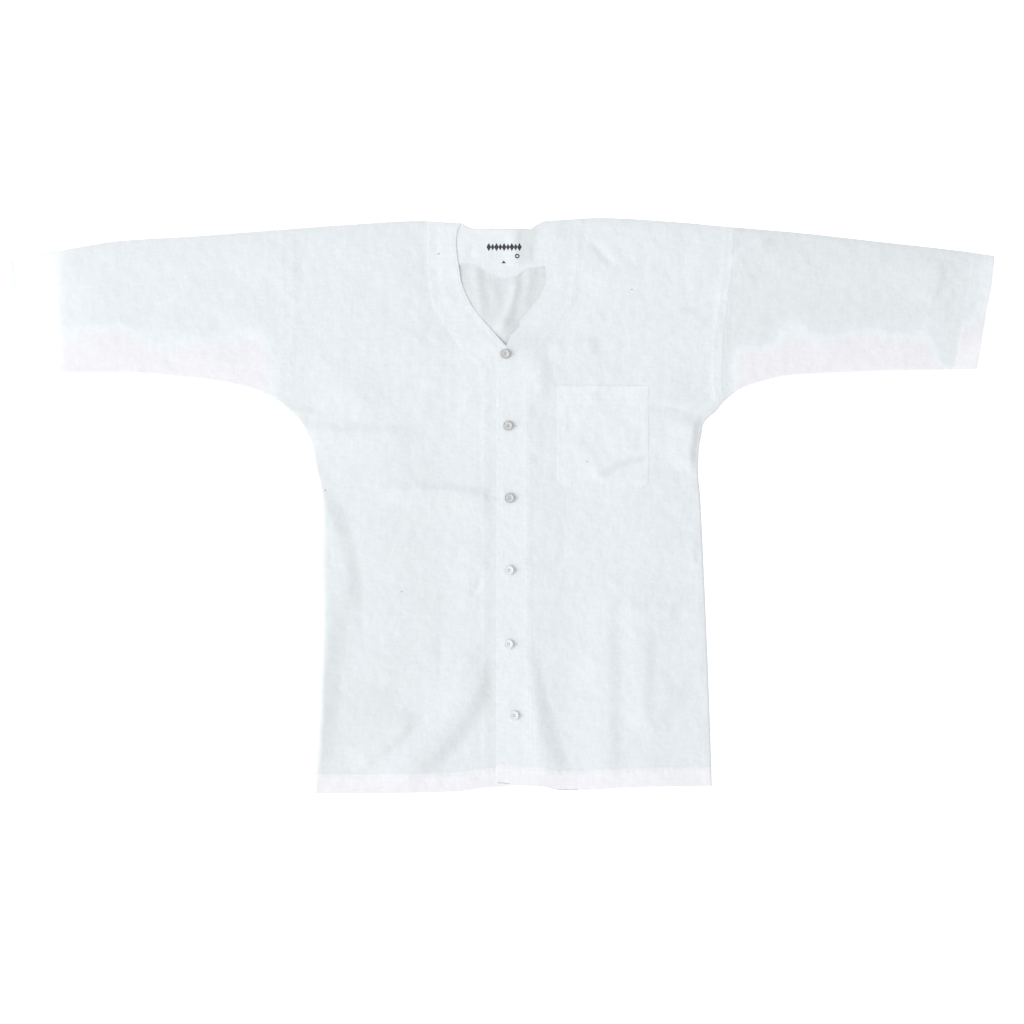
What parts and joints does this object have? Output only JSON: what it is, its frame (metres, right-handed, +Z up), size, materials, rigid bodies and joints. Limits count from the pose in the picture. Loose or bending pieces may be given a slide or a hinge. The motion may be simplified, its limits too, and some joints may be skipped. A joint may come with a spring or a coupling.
{
  "type": "koikuchi shirt laid flat",
  "caption": "Collarless Japanese festival shirt in slubby white cotton, laid flat front up: V neck, buttoned front, patch pocket, three-quarter sleeves.",
  "frame": {"origin": "centre of the shirt's outline seen from above, on the surface that it lies on", "axes": "+X to the wearer's left, cuff to cuff; +Y from the hem to the shoulders; +Z up, out of the front"},
  "size_m": [1.2688, 0.7424, 0.0103],
  "materials": {
    "cotton": "matt slubby white cotton",
    "facing": "matt white cotton",
    "button": "pearly grey, soft gloss"
  },
  "bodies": {
    "root": {"back": "cotton", "front_right": "cotton", "front_left": "cotton", "sleeve_right": "cotton", "sleeve_left": "cotton", "neck_facing_back": "facing", "pocket": "cotton", "button_1": "button", "button_2": "button", "button_3": "button", "button_4": "button", "button_5": "button", "button_6": "button"}
  },
  "joints": []
}
